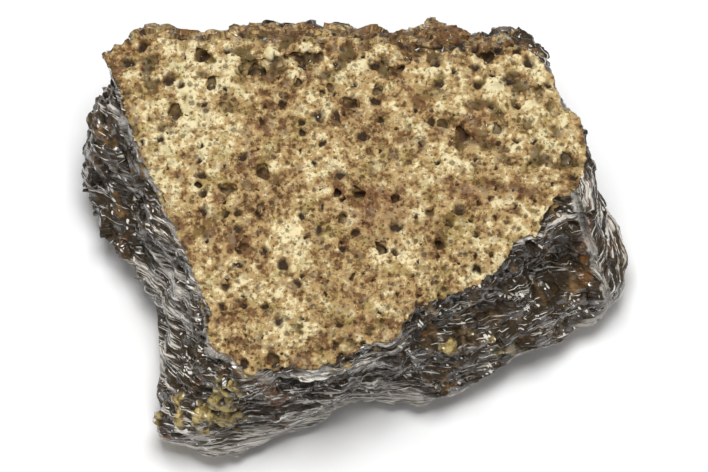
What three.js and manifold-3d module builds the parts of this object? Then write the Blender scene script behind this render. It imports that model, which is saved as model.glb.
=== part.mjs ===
// A broken section of fossil tyrannosaur bone: one flat chunk whose upper face is open spongy bone
// and whose steep walls are dark, fibrous and mineralised. It is one natural piece, so it is one solid.
// Millimetres, +Z up, +X along the length. The origin is on the resting plane, below the middle of the
// bounding box. The chunk lies on its underside, with the spongy face up.
import * as THREE from "three";
import { ImprovedNoise } from "three/addons/math/ImprovedNoise.js";
import { mergeVertices } from "three/addons/utils/BufferGeometryUtils.js";
import Module from "manifold-3d";

// Driving dimensions
const FACE_HEIGHT = 16.4; // the spongy face above the resting plane
const FACE_MARGIN = 6; // how sharply the face bends to its edge: the power of the distance from the middle
const FACE_SWELL = 0.3; // gentle rise and fall of the spongy face
const FACE_SWELL_LENGTH = 7;
const UNDERCUT = 1.5; // how far the resting outline stands inside the narrower of rim and belly
const LUMP_HEIGHT = 1.0; // lumps of the walls
const LUMP_LENGTH = 5;
const BED_HEIGHT = 1.9; // ledges along the layers of the bone
const BED_PITCH = 2.6; // thickness of a layer
const BED_STRETCH = 4; // a ledge is this many times longer than it is thick
const BED_DIP = new THREE.Vector3(0.1, -0.06, 1).normalize(); // across the layers
const LEDGE_LEVEL = 0.25; // the noise level up to which a layer stands out as a ledge
const RELIEF_FADE = [0.2, 2]; // heights above the ground between which the walls' relief sets in
const RIM_RELIEF = 0.25; // the share of the relief that the rim itself takes
const RIM_REACH = 3; // the relief is whole this many rings below the rim
const HOLLOW_DEPTH = 0.7; // how far the underside lifts off the resting plane between its flats
const HOLLOW_LENGTH = 9;
const REST_RADIUS = 5; // a flat spot of at least this radius stays below the middle
const CREST_HEIGHT = 2.1; // the sharp crest down the right wall
const CREST_WIDTH = 1.7; // from its line to its foot, on either side

// Mesh fineness
const GRID_CELLS = 19; // cells along each side of the disc grids on the spongy face and the underside
const FACE_SHARE = 0.96; // the face's grid reaches this share of the rim's radius
const UNDERSIDE_SHARE = 0.93; // the underside's reaches this share of the resting outline's
const WALL_RINGS = 16;
const RIM_EASING = 1.35; // above 1 sets the wall's rings closer together near the rim
const OUTLINE_SAMPLES = 1440;
const LARGE_PIT = 0.7; // a pit of at least this radius is cut by a finer ellipsoid
const PIT_STRETCH = [1.15, 0.9]; // a pit's long and short radius, as shares of its stated one
const PIT_TURN = 2.4; // each pit's long axis is turned this many radians from the last one's
const OCTAVE_SHIFT = 17; // keeps the octaves of the noise from lining up

// Edge of the spongy face: x, y and height of each turn, anticlockwise from the back left corner
const RIM = [
  [-22.0, 14.2, 16.0],
  [-20.5, 11.1, 16.3],
  [-18.6, 5.6, 16.4],
  [-15.2, -2.3, 16.4],
  [-12.7, -9.5, 16.2],
  [-12.7, -12.3, 15.9],
  [-10.7, -13.4, 15.8],
  [-9.4, -14.7, 15.5],
  [-5.5, -14.3, 15.4],
  [-1.0, -13.8, 15.6],
  [1.6, -12.6, 16.0],
  [3.7, -12.1, 16.0],
  [4.3, -10.8, 16.1],
  [5.9, -9.1, 16.0],
  [8.6, -7.9, 15.3],
  [11.4, -5.9, 15.1],
  [13.3, -4.8, 15.8],
  [14.0, -3.1, 16.1],
  [16.4, -1.7, 16.2],
  [17.4, 0.6, 16.2],
  [19.4, 2.0, 16.0],
  [20.2, 4.4, 15.8],
  [20.0, 7.8, 15.7],
  [17.9, 10.8, 15.8],
  [17.0, 13.2, 15.6],
  [14.8, 15.2, 15.4],
  [10.8, 14.9, 15.8],
  [7.2, 14.3, 15.8],
  [3.6, 15.0, 15.9],
  [-0.6, 15.6, 15.7],
  [-5.6, 15.2, 15.8],
  [-13.6, 15.6, 15.9],
  [-17.0, 16.2, 15.7],
  [-20.4, 15.2, 15.7],
];

// Where each wall stands out furthest: low on the left, front and right, just under the rim at the back
const BELLY = [
  [-20.5, 14.9, 9.5],
  [-21.2, 14.0, 6.5],
  [-22.6, 13.6, 4.5],
  [-23.7, 12.3, 4.0],
  [-24.1, 9.4, 4.5],
  [-23.6, 5.6, 4.5],
  [-22.6, 2.6, 4.0],
  [-20.2, -0.6, 4.0],
  [-18.7, -3.2, 4.0],
  [-17.4, -6.4, 4.0],
  [-17.4, -10.5, 3.5],
  [-17.2, -15.5, 3.0],
  [-17.1, -17.1, 2.5],
  [-14.6, -17.9, 2.5],
  [-12.4, -18.2, 2.5],
  [-8.6, -17.1, 2.5],
  [-4.6, -16.0, 2.5],
  [-1.4, -14.6, 2.5],
  [2.2, -13.1, 2.5],
  [4.8, -13.2, 3.0],
  [7.6, -13.7, 3.0],
  [10.2, -13.1, 3.0],
  [13.9, -10.4, 3.0],
  [18.1, -8.2, 3.0],
  [21.2, -6.2, 3.0],
  [24.3, -3.7, 3.5],
  [25.0, -1.6, 4.0],
  [23.9, 1.3, 4.5],
  [21.6, 4.0, 5.0],
  [19.9, 5.6, 6.5],
  [19.3, 8.0, 12.5],
  [17.6, 10.8, 13.5],
  [17.0, 13.4, 13.5],
  [16.2, 16.2, 13.5],
  [14.2, 17.8, 13.5],
  [10.8, 17.6, 13.5],
  [7.5, 18.1, 14.0],
  [3.0, 17.3, 13.5],
  [-1.6, 18.0, 13.5],
  [-4.4, 18.1, 13.5],
  [-8.4, 18.0, 13.6],
  [-10.4, 17.3, 13.5],
  [-13.6, 17.1, 13.5],
  [-16.2, 17.9, 13.5],
  [-19.0, 16.3, 13.4],
];

// Large pores and hollows of the spongy face: x, y, radius and depth
const PITS = [
  [-11.0, 1.8, 0.7, 1.1],
  [-8.0, 3.3, 0.75, 1.0],
  [-1.5, 1.5, 0.55, 1.1],
  [0.4, 1.4, 0.65, 1.0],
  [-8.1, 0.3, 0.45, 0.8],
  [-13.6, 2.1, 0.45, 0.7],
  [-15.5, 8.8, 0.7, 0.9],
  [-11.2, 9.3, 0.5, 0.7],
  [-4.8, 11.7, 0.6, 1.0],
  [-0.2, 9.8, 0.7, 0.9],
  [3.7, 1.0, 0.45, 0.8],
  [2.2, 10.9, 0.5, 0.8],
  [3.8, 12.6, 0.6, 0.8],
  [7.8, 7.7, 0.55, 0.8],
  [9.5, 7.0, 0.8, 1.1],
  [12.5, 7.4, 0.6, 0.8],
  [4.7, 7.7, 0.4, 0.6],
  [-4.4, 7.0, 0.5, 0.8],
  [-9.6, -3.5, 0.45, 0.7],
  [0.0, -6.2, 0.45, 0.7],
  [2.3, -3.6, 0.45, 0.7],
  [7.5, -3.2, 0.55, 0.8],
  [-13.0, -7.4, 0.6, 0.7],
  [-7.0, -13.6, 0.7, 0.8],
  [8.4, -1.3, 0.6, 0.7],
  [6.6, -0.4, 0.6, 0.7],
  [15.7, -0.4, 0.45, 0.7],
  [17.4, 9.5, 0.7, 0.8],
  [18.6, 4.9, 0.7, 0.8],
  [11.7, 14.2, 0.7, 0.9],
  [16.0, 11.2, 0.6, 0.7],
  [-1.0, -1.3, 0.45, 0.7],
  [-1.9, 11.1, 0.45, 0.6],
  [2.0, 3.7, 0.9, 0.5],
  [-2.6, 3.8, 0.9, 0.4],
  [-13.2, 14.2, 0.8, 0.8],
  [-12.4, 11.4, 0.6, 0.9],
];

// The long groove behind the face's back edge: x, y, half width and depth of each hollow along it
const GROOVE = [
  [-8.6, 13.1, 0.75, 1.4],
  [-7.0, 13.7, 0.65, 1.2],
  [-5.2, 14.1, 0.5, 0.9],
  [-3.2, 14.1, 0.45, 0.7],
];
const GROOVE_LINK = 1.35; // half length of each hollow

// Layers of dense bone that stand out at the back edge: both ends, half width and half height
const LAYERS = [
  { from: [-13.4, 16.7, 14.2], to: [-9.4, 16.3, 14.5], width: 0.55, height: 0.6 },
  { from: [-7.0, 16.4, 14.9], to: [2.0, 16.2, 14.9], width: 0.7, height: 0.5 },
  { from: [2.6, 15.4, 15.6], to: [9.6, 15.7, 15.4], width: 0.6, height: 0.45 },
  { from: [4.6, 17.0, 14.0], to: [10.6, 16.8, 14.2], width: 0.8, height: 0.6 },
];

// The crest down the right wall, between a broken face and a fibrous one
const CREST = new THREE.Line3(new THREE.Vector3(18.9, 2.4, 15.8), new THREE.Vector3(21.7, -3.6, 5.4));

// Lumps of the walls, and where the height is negative, scoops broken out of them
const LUMPS = [
  { at: [17.4, -3.4, 11.0], radius: 3.2, height: -2.2 },
  { at: [6.2, -9.8, 12.4], radius: 2.6, height: -1.8 },
  { at: [20.4, 6.8, 9.0], radius: 2.6, height: -0.9 },
  { at: [-21.4, 14.6, 11.0], radius: 2.4, height: -0.7 },
  { at: [12.6, -8.0, 7.5], radius: 2.2, height: 0.8 },
  { at: [8.2, -11.4, 6.5], radius: 1.4, height: 0.9 },
  { at: [2.4, -13.0, 9.5], radius: 2.2, height: -0.8 },
  { at: [-13.6, -15.6, 6.0], radius: 2.0, height: 1.0 },
  { at: [-8.4, -15.8, 9.0], radius: 2.4, height: -0.9 },
  { at: [-18.4, -5.4, 9.5], radius: 2.6, height: -1.0 },
  { at: [-22.0, 8.6, 9.5], radius: 2.4, height: 0.8 },
  { at: [-20.6, 2.4, 10.5], radius: 2.2, height: -0.9 },
  { at: [7.4, 17.6, 8.0], radius: 3.0, height: -1.0 },
  { at: [-9.6, 17.4, 7.0], radius: 3.4, height: -1.0 },
];

const perlin = new ImprovedNoise();
const wasm = await Module();
wasm.setup();

// Noise of a few octaves at a point, whose lumps have the given length.
function roughness(point, length, octaves = 2) {
  let sum = 0;
  let share = 1;
  for (let octave = 0; octave < octaves; octave++) {
    const scale = 2 ** octave / length;
    sum += share * perlin.noise(point.x * scale + octave * OCTAVE_SHIFT, point.y * scale, point.z * scale);
    share /= 2;
  }
  return sum;
}

// A smooth closed outline as a function of the angle round the origin: its radius and height there.
function outline(points) {
  const turns = points.map(([x, y, z]) => new THREE.Vector3(x, y, z));
  const curve = new THREE.CatmullRomCurve3(turns, true, "centripetal");
  const samples = curve.getPoints(OUTLINE_SAMPLES).map((p) => ({
    angle: Math.atan2(p.y, p.x),
    radius: Math.hypot(p.x, p.y),
    height: p.z,
  }));
  samples.sort((a, b) => a.angle - b.angle);
  return (angle) => {
    const wrapped = Math.atan2(Math.sin(angle), Math.cos(angle));
    const found = samples.findIndex((s) => s.angle >= wrapped);
    const after = samples[Math.max(found, 0)];
    const before = samples[found > 0 ? found - 1 : samples.length - 1];
    const span = after.angle - before.angle;
    const share = span > 0 ? (wrapped - before.angle) / span : 0;
    return {
      radius: THREE.MathUtils.lerp(before.radius, after.radius, share),
      height: THREE.MathUtils.lerp(before.height, after.height, share),
    };
  };
}

const rimAt = outline(RIM);
const bellyAt = outline(BELLY);

function restingRadius(angle) {
  return Math.min(rimAt(angle).radius + 2 * UNDERCUT, bellyAt(angle).radius) - UNDERCUT;
}

function polar(radius, angle, height) {
  return new THREE.Vector3(radius * Math.cos(angle), radius * Math.sin(angle), height);
}

// The spongy face: level in the middle, bending to the rim's height near its edge.
function facePoint(share, angle) {
  const rim = rimAt(angle);
  const height = FACE_HEIGHT + (rim.height - FACE_HEIGHT) * share ** FACE_MARGIN;
  const point = polar(rim.radius * share, angle, height);
  point.z += FACE_SWELL * roughness(point, FACE_SWELL_LENGTH);
  return point;
}

// The wall from rim to belly to resting outline, at a share of its length down.
function wallPoint(share, angle) {
  const rim = rimAt(angle);
  const belly = bellyAt(angle);
  const turns = [
    new THREE.Vector2(rim.radius, facePoint(1, angle).z),
    new THREE.Vector2(belly.radius, belly.height),
    new THREE.Vector2(restingRadius(angle), 0),
  ];
  const upper = turns[0].distanceTo(turns[1]);
  const lower = turns[1].distanceTo(turns[2]);
  const along = share * (upper + lower);
  const place =
    along < upper
      ? turns[0].clone().lerp(turns[1], along / upper)
      : turns[1].clone().lerp(turns[2], (along - upper) / lower);
  return polar(place.x, angle, Math.max(place.y, 0));
}

// The underside: flat where it rests, lifted a little between its flats.
function undersidePoint(share, angle) {
  const radius = restingRadius(angle) * share;
  const point = polar(radius, angle, 0);
  const clear = THREE.MathUtils.smoothstep(radius, REST_RADIUS, 2 * REST_RADIUS);
  const lift = Math.max(roughness(point, HOLLOW_LENGTH), 0);
  point.z = 2 * HOLLOW_DEPTH * lift * clear;
  return point;
}

// A square grid bent onto a disc: each corner's angle and share of the radius.
function discGrid(cells) {
  const corners = [];
  for (let row = 0; row <= cells; row++) {
    for (let column = 0; column <= cells; column++) {
      const a = (2 * column) / cells - 1;
      const b = (2 * row) / cells - 1;
      const wide = Math.abs(a) > Math.abs(b);
      const share = wide ? a : b;
      const turn = wide ? (b / a) * 0.25 : 0.5 - (b ? a / b : 0) * 0.25;
      corners.push({ share: Math.abs(share), angle: Math.PI * (turn + (share < 0 ? 1 : 0)) });
    }
  }
  return corners;
}

// The grid's outer corners in turn, anticlockwise from its lowest left corner.
function gridEdge(cells) {
  const at = (column, row) => row * (cells + 1) + column;
  const steps = Array.from({ length: cells }, (_, i) => i);
  return [
    ...steps.map((i) => at(i, 0)),
    ...steps.map((i) => at(cells, i)),
    ...steps.map((i) => at(cells - i, cells)),
    ...steps.map((i) => at(0, cells - i)),
  ];
}

// The whole closed skin before its walls are roughened: the wall's rings, then a grid in the face and
// one in the underside. A grid has half as many corners round its edge, so each meets two of a ring's.
function skin() {
  const fine = discGrid(2 * GRID_CELLS);
  const angles = gridEdge(2 * GRID_CELLS).map((corner) => fine[corner].angle);
  const points = [];
  const triangles = [];
  const ringAt = (ring, i) => ring * angles.length + (i % angles.length);

  for (let ring = 0; ring <= WALL_RINGS; ring++) {
    const share = (ring / WALL_RINGS) ** RIM_EASING;
    points.push(...angles.map((angle) => wallPoint(share, angle)));
    if (ring === 0) continue;
    for (let i = 0; i < angles.length; i++) {
      const [a, b] = [ringAt(ring - 1, i), ringAt(ring - 1, i + 1)];
      const [c, d] = [ringAt(ring, i + 1), ringAt(ring, i)];
      triangles.push(b, a, d, b, d, c);
    }
  }
  const addGrid = (ring, reach, pointAt, upward) => {
    const first = points.length;
    const add = (a, b, c) => triangles.push(...(upward ? [a, b, c] : [a, c, b]));
    points.push(...discGrid(GRID_CELLS).map(({ share, angle }) => pointAt(share * reach, angle)));
    for (let row = 0; row < GRID_CELLS; row++) {
      for (let column = 0; column < GRID_CELLS; column++) {
        const corner = first + row * (GRID_CELLS + 1) + column;
        const above = corner + GRID_CELLS + 1;
        add(corner, corner + 1, above + 1);
        add(corner, above + 1, above);
      }
    }
    const inner = gridEdge(GRID_CELLS).map((corner) => first + corner);
    for (let i = 0; i < inner.length; i++) {
      const next = inner[(i + 1) % inner.length];
      add(ringAt(ring, 2 * i), ringAt(ring, 2 * i + 1), inner[i]);
      add(ringAt(ring, 2 * i + 1), next, inner[i]);
      add(ringAt(ring, 2 * i + 1), ringAt(ring, 2 * i + 2), next);
    }
  };
  addGrid(0, FACE_SHARE, facePoint, true);
  addGrid(WALL_RINGS, UNDERSIDE_SHARE, undersidePoint, false);
  return new THREE.BufferGeometry().setFromPoints(points).setIndex(triangles);
}

// How far a wall point stands out: rounded noise, ledges that follow the layers of the bone, the
// lumps and scoops, and the crest. The relief fades out towards the ground.
function wallRelief(point) {
  const across = point.dot(BED_DIP);
  const bedPoint = point
    .clone()
    .addScaledVector(BED_DIP, -across)
    .divideScalar(BED_STRETCH)
    .addScaledVector(BED_DIP, across);
  const ledge = LEDGE_LEVEL - Math.abs(roughness(bedPoint, BED_PITCH));
  let relief = LUMP_HEIGHT * roughness(point, LUMP_LENGTH, 3) + BED_HEIGHT * ledge;
  for (const { at, radius, height } of LUMPS) {
    const away = point.distanceTo(new THREE.Vector3(...at)) / radius;
    relief += height * Math.exp(-(away ** 2));
  }
  const fromCrest = CREST.closestPointToPoint(point, true, new THREE.Vector3()).distanceTo(point);
  relief += CREST_HEIGHT * Math.max(1 - fromCrest / CREST_WIDTH, 0);
  return relief * THREE.MathUtils.smoothstep(point.z, ...RELIEF_FADE);
}

// Roughens the walls along their own normals, and the rim a little. The spongy face inside its rim
// and what rests on the ground stay.
function roughened(geometry) {
  geometry.computeVertexNormals();
  const place = geometry.getAttribute("position");
  const normal = geometry.getAttribute("normal");
  const ringCorners = 8 * GRID_CELLS;
  const point = new THREE.Vector3();
  for (let i = 0; i < ringCorners * (WALL_RINGS + 1); i++) {
    const ring = Math.floor(i / ringCorners);
    const strength = THREE.MathUtils.lerp(RIM_RELIEF, 1, Math.min(ring / RIM_REACH, 1));
    point.fromBufferAttribute(place, i);
    const outward = new THREE.Vector3().fromBufferAttribute(normal, i);
    point.addScaledVector(outward, strength * wallRelief(point));
    place.setXYZ(i, point.x, point.y, Math.max(point.z, 0));
  }
  return geometry;
}

function solidOf(geometry) {
  const bare = geometry.clone();
  bare.deleteAttribute("normal");
  bare.deleteAttribute("uv");
  const merged = mergeVertices(bare);
  return new wasm.Manifold(
    new wasm.Mesh({
      numProp: 3,
      vertProperties: merged.getAttribute("position").array,
      triVerts: new Uint32Array(merged.index.array),
    }),
  );
}

function geometryOf(solid) {
  const { vertProperties, triVerts } = solid.getMesh();
  const geometry = new THREE.BufferGeometry();
  geometry.setAttribute("position", new THREE.BufferAttribute(vertProperties, 3));
  geometry.setIndex(new THREE.BufferAttribute(triVerts, 1));
  const flat = geometry.toNonIndexed();
  flat.computeVertexNormals();
  return flat;
}

// An ellipsoid at a place, its long half axis along a direction.
function ellipsoid(centre, along, halfLength, halfWidth, halfHeight, detail = 1) {
  const side = new THREE.Vector3(0, 0, 1).cross(along).normalize();
  const up = along.clone().cross(side);
  const placed = new THREE.Matrix4()
    .makeBasis(along, side, up)
    .scale(new THREE.Vector3(halfLength, halfWidth, halfHeight))
    .setPosition(centre);
  return solidOf(new THREE.IcosahedronGeometry(1, detail).applyMatrix4(placed));
}

function faceHeightAt(x, y) {
  const angle = Math.atan2(y, x);
  return facePoint(Math.hypot(x, y) / rimAt(angle).radius, angle).z;
}

function pit([x, y, radius, depth], index) {
  const turn = index * PIT_TURN;
  const along = new THREE.Vector3(Math.cos(turn), Math.sin(turn), 0);
  const centre = new THREE.Vector3(x, y, faceHeightAt(x, y));
  const [long, short] = PIT_STRETCH;
  return ellipsoid(centre, along, radius * long, radius * short, depth, radius < LARGE_PIT ? 0 : 1);
}

function grooveHollow([x, y, halfWidth, depth], index) {
  const [nextX, nextY] = GROOVE[Math.min(index + 1, GROOVE.length - 1)];
  const [lastX, lastY] = GROOVE[Math.max(index - 1, 0)];
  const along = new THREE.Vector3(nextX - lastX, nextY - lastY, 0).normalize();
  const centre = new THREE.Vector3(x, y, faceHeightAt(x, y));
  return ellipsoid(centre, along, GROOVE_LINK, halfWidth, depth);
}

function layer({ from, to, width, height }) {
  const start = new THREE.Vector3(...from);
  const end = new THREE.Vector3(...to);
  const along = end.clone().sub(start);
  const halfLength = along.length() / 2;
  const centre = start.add(end).multiplyScalar(0.5);
  return ellipsoid(centre, along.normalize(), halfLength, width, height);
}

function boneSection() {
  let solid = solidOf(roughened(skin()));
  for (const made of LAYERS.map(layer)) solid = solid.add(made);
  for (const cut of [...PITS.map(pit), ...GROOVE.map(grooveHollow)]) solid = solid.subtract(cut);
  const material = new THREE.MeshStandardMaterial({ color: 0x9c7f52, roughness: 0.55, metalness: 0 });
  const mesh = new THREE.Mesh(geometryOf(solid), material);
  mesh.name = "bone_section";
  return mesh;
}

const fossil = new THREE.Group();
fossil.add(boneSection());

export default fossil;
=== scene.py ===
"""The looks of a broken section of fossil tyrannosaur bone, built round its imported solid.

The chunk lies on its underside with its spongy face up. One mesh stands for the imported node: a fine
skin over that solid, with pores sunk into the spongy face and with layers, streaks and chips raised
on the walls by Geometry Nodes. Sizes are in metres in the settings, and in millimetres in the tables.
"""
import math

import bpy
import numpy as np
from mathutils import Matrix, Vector


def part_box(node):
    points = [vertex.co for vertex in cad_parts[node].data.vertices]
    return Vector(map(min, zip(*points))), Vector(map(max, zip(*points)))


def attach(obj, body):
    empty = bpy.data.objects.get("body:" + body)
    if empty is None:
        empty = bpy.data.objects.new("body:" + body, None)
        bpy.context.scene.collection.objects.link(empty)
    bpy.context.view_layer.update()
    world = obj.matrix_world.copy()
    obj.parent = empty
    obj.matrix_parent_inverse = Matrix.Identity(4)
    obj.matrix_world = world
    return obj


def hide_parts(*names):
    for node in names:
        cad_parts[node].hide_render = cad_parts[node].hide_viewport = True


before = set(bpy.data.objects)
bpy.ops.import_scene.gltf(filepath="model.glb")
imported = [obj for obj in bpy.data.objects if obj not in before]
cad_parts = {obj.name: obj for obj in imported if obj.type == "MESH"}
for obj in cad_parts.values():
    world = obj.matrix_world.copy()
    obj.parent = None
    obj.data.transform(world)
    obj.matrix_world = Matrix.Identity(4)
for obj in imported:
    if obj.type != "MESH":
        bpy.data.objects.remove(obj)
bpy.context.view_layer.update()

bl_info = {
    "name": "Fossil bone section",
    "version": (1, 0, 0),
    "blender": (4, 5, 0),
    "location": "View3D > Sidebar > Fossil",
    "description": "Builds the spongy face and the dark fibrous walls of a fossil bone section",
    "category": "Object",
}

NODE = "bone_section"
MM = 0.001

# Edge of the spongy face seen from above: the x and y of each turn in mm, anticlockwise
RIM = (
    (-22.8, 14.2), (-21.2, 11.0), (-18.9, 5.6), (-15.3, -2.3), (-12.7, -9.5), (-12.7, -12.3),
    (-10.7, -13.4), (-9.4, -14.9), (-5.5, -14.8), (-1.0, -14.3), (1.6, -13.0), (3.7, -12.1),
    (4.3, -10.8), (5.9, -9.1), (8.6, -7.9), (11.4, -5.9), (13.3, -4.8), (14.0, -3.1),
    (16.4, -1.7), (17.4, 0.6), (19.4, 2.0), (20.2, 4.4), (20.0, 7.8), (17.9, 10.8),
    (17.0, 13.2), (14.8, 15.2), (10.8, 14.9), (7.2, 14.3), (3.6, 15.0), (-0.6, 15.6),
    (-5.6, 15.2), (-13.6, 15.6), (-17.0, 16.2), (-20.4, 15.2),
)

# Broad patches seen from above: x, y, half width, half depth in mm, and strength. They fade outwards.
PATCHES = {
    "lightness": [
        (-14.9, 4.9, 4.2, 4.2, 0.9),
        (-16.6, 9.8, 3.0, 3.0, 0.5),
        (5.3, 6.8, 2.2, 2.0, 0.8),
        (9.0, 4.4, 4.5, 1.3, 0.6),
        (16.3, 7.7, 2.6, 3.0, 0.8),
        (0.0, 12.8, 1.7, 1.3, 0.7),
        (11.9, 12.1, 1.3, 0.9, 0.8),
        (-3.6, 9.2, 1.2, 2.2, 0.6),
        (-3.6, 2.4, 1.8, 2.4, 0.6),
        (-5.2, -3.2, 2.2, 3.6, 0.6),
        (-5.2, -11.3, 2.0, 1.6, 0.5),
        (1.4, -9.0, 1.4, 1.0, 0.7),
        (5.3, -2.9, 1.1, 2.4, 0.6),
        (-17.1, 15.0, 2.4, 1.2, 0.4),
        (-12.6, 0.0, 1.6, 1.4, 0.5),
        (11.0, 1.6, 3.4, 1.2, -1.0),
        (2.2, -0.6, 2.6, 2.2, -0.8),
        (-0.4, 1.7, 1.8, 1.1, -0.9),
        (8.8, -0.8, 2.0, 1.6, -0.5),
        (-0.8, 9.6, 1.4, 1.3, -0.9),
        (11.0, 7.4, 1.6, 1.9, -0.9),
        (-8.8, 3.1, 1.6, 1.4, -0.8),
        (-11.1, 1.7, 1.0, 0.9, -0.7),
        (-6.4, 7.2, 2.8, 0.9, -0.7),
        (-1.7, -3.4, 2.0, 1.8, -0.6),
        (-0.4, -10.8, 2.0, 1.4, -0.6),
        (-8.6, -0.2, 3.0, 1.2, -0.4),
        (-10.6, -9.8, 1.6, 1.6, -0.3),
        (-7.9, 13.3, 1.8, 1.0, -1.0),
        (-15.6, 8.7, 1.3, 0.9, -0.6),
        (-20.8, 13.4, 1.7, 2.6, -1.0),
        (6.6, 16.2, 4.2, 1.3, -1.3),
        (13.2, 15.0, 2.6, 1.8, -0.8),
        (-6.0, 17.2, 9.0, 1.2, -1.0),
        (18.2, 3.4, 1.6, 1.6, -0.3),
    ],
    "redness": [
        (2.4, -0.4, 3.4, 2.8, 0.9),
        (11.0, 1.6, 3.6, 1.4, 0.8),
        (-0.4, -10.6, 2.4, 1.6, 0.7),
        (-8.6, 2.6, 2.4, 1.8, 0.5),
        (-0.8, 9.4, 1.8, 1.6, 0.5),
        (11.2, 8.0, 2.2, 2.4, 0.6),
        (14.4, -3.2, 2.0, 1.4, -0.5),
        (8.8, -1.6, 2.4, 1.8, -0.9),
        (16.3, 7.4, 3.0, 3.4, -0.4),
    ],
    "ruggedness": [
        (-13.0, 13.0, 7.0, 3.4, 1.0),
        (-1.0, 14.2, 9.0, 2.6, 1.0),
        (12.6, 12.4, 5.0, 4.0, 0.9),
        (10.5, 7.4, 4.0, 3.0, 0.6),
        (-18.6, 9.0, 3.0, 5.0, 0.6),
        (17.0, 4.0, 3.4, 4.0, 0.7),
        (0.0, -11.6, 7.0, 2.2, 0.5),
        (-8.6, 2.2, 3.4, 2.2, 0.6),
    ],
    "glints": [
        (15.4, -6.4, 2.2, 1.1, 1.4),
        (19.3, -5.5, 1.7, 1.0, 1.3),
        (12.1, -9.8, 1.2, 1.3, 1.0),
        (6.8, -11.8, 1.7, 0.9, 0.9),
        (8.2, -8.8, 0.9, 0.9, 0.9),
        (17.6, 0.0, 0.9, 1.0, 1.2),
        (14.6, -3.4, 1.4, 1.0, 0.9),
        (-21.5, 7.4, 1.5, 2.4, 0.5),
        (-20.0, 2.6, 1.4, 2.6, 0.5),
        (-11.7, -13.6, 2.2, 1.2, 0.9),
        (-15.4, -13.0, 1.6, 1.8, 0.8),
        (0.9, -13.2, 2.2, 1.0, 0.9),
        (-5.0, -15.0, 3.0, 0.5, 0.7),
        (-14.8, -16.6, 2.6, 1.2, 0.9),
    ],
    "ochre": [
        (-15.2, -15.8, 2.4, 1.1, 1.1),
        (-11.1, -15.3, 1.2, 0.7, 0.9),
        (-12.0, -16.4, 2.0, 0.8, 1.1),
        (8.0, -10.4, 1.6, 1.0, 0.5),
        (12.6, -9.6, 3.0, 0.7, 0.4),
    ],
    # Grey patches: partly grey fibrous walls, partly painted sheen of the pale floor on the glossy
    # walls
    "greyness_and_sheen": [
        (-17.4, -3.0, 1.8, 2.6, 0.9),
        (-15.6, -7.0, 1.8, 3.2, 1.1),
        (-16.4, -10.6, 1.3, 2.6, 1.0),
        (-12.4, -17.7, 4.2, 1.0, 0.9),
        (-3.0, -15.8, 5.4, 1.0, 1.5),
        (2.6, -13.2, 2.6, 1.4, 1.1),
        (20.9, 1.6, 1.3, 2.6, 0.9),
        (22.9, -0.4, 1.5, 4.6, 0.8),
        (-22.9, 11.0, 1.2, 2.6, 0.1),
        (10.6, -10.6, 1.4, 0.8, 0.5),
    ],
    "amber": [
        (-3.9, -16.6, 1.9, 0.6, 2.2),
        (-6.4, -15.4, 1.6, 0.5, 1.2),
        (5.6, -9.9, 1.6, 1.0, 0.7),
        (8.2, -12.4, 1.4, 1.0, 0.8),
        (19.6, -3.4, 1.4, 2.4, 0.9),
        (20.4, -1.0, 0.6, 2.0, 1.2),
        (22.6, -0.4, 0.8, 1.8, 1.1),
        (10.0, -6.6, 2.6, 0.9, 0.8),
        (-7.0, -15.0, 1.6, 0.7, 0.9),
        (-20.6, -0.6, 1.4, 2.4, 0.9),
        (-13.6, -14.4, 0.8, 1.4, 0.8),
        (-16.8, -17.2, 2.0, 0.7, 1.0),
    ],
}

# The sharp crest down the right wall, seen from above: its ends, how far its pale edge fades out, and
# how wide a strip parts the facet on its right from the rest
CREST = ((18.9, 2.4), (22.4, -5.0))
CREST_FADE = 0.5
FACET_EDGE = 0.6

# Bands in mm over which the parts of the surface fade in. The first two are measured down from the
# chunk's highest point, and the heights after them up from the ground.
FACE_BAND = (3.2, 2.4)  # the spongy face
STAIN_BAND = (5.0, 3.0)  # the tan stain on the back wall
STAIN_EDGE = (14.2, 15.4)  # the same stain, from front to back
STAIN_STRENGTH = 0.57
RELIEF_FOOT = ((3.0, 6.5), (0.2, 2.0))  # the walls' relief, at the front and at the back
BEHIND = (-4.0, 4.0)  # from the front's relief to the back's
# The pale line along the left rim is a painted highlight
LIP_BAND = (12.4, 13.4)  # the pale line along the left rim
LIP_END = (6.0, 2.0)  # the same line, from right to left
FOOT_LINE = ((1.6, 2.4), (3.7, 3.2))  # the pale line along the front foot: its lower and upper edge
FOOT_END = (2.0, -3.0)  # the same line, from back to front


def length(name, description, default):
    """A size in metres that a user may change."""
    return bpy.props.FloatProperty(
        name=name, description=description, default=default, min=0, precision=5, unit="LENGTH"
    )


def colour(name, description, default):
    """A colour that a user may change, given as the red, green and blue of a screen, from 0 to 255."""
    return bpy.props.FloatVectorProperty(
        name=name,
        description=description,
        default=[linear(value / 255) for value in default],
        size=3,
        min=0,
        max=1,
        subtype="COLOR",
    )


def linear(value):
    """A screen value from 0 to 1 as a linear one."""
    return value / 12.92 if value <= 0.04045 else ((value + 0.055) / 1.055) ** 2.4


class FossilSkin(bpy.types.PropertyGroup):
    """How fine the skin over the solid is."""

    cell: length("Skin cell", "Size of the cells of the first, even skin", 0.00012)
    rounding: bpy.props.IntProperty(
        name="Rounding", description="Smoothing steps that take away the solid's facets", default=7
    )
    triangles: bpy.props.IntProperty(
        name="Triangles", description="Triangles of the finished skin", default=196000
    )


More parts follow.
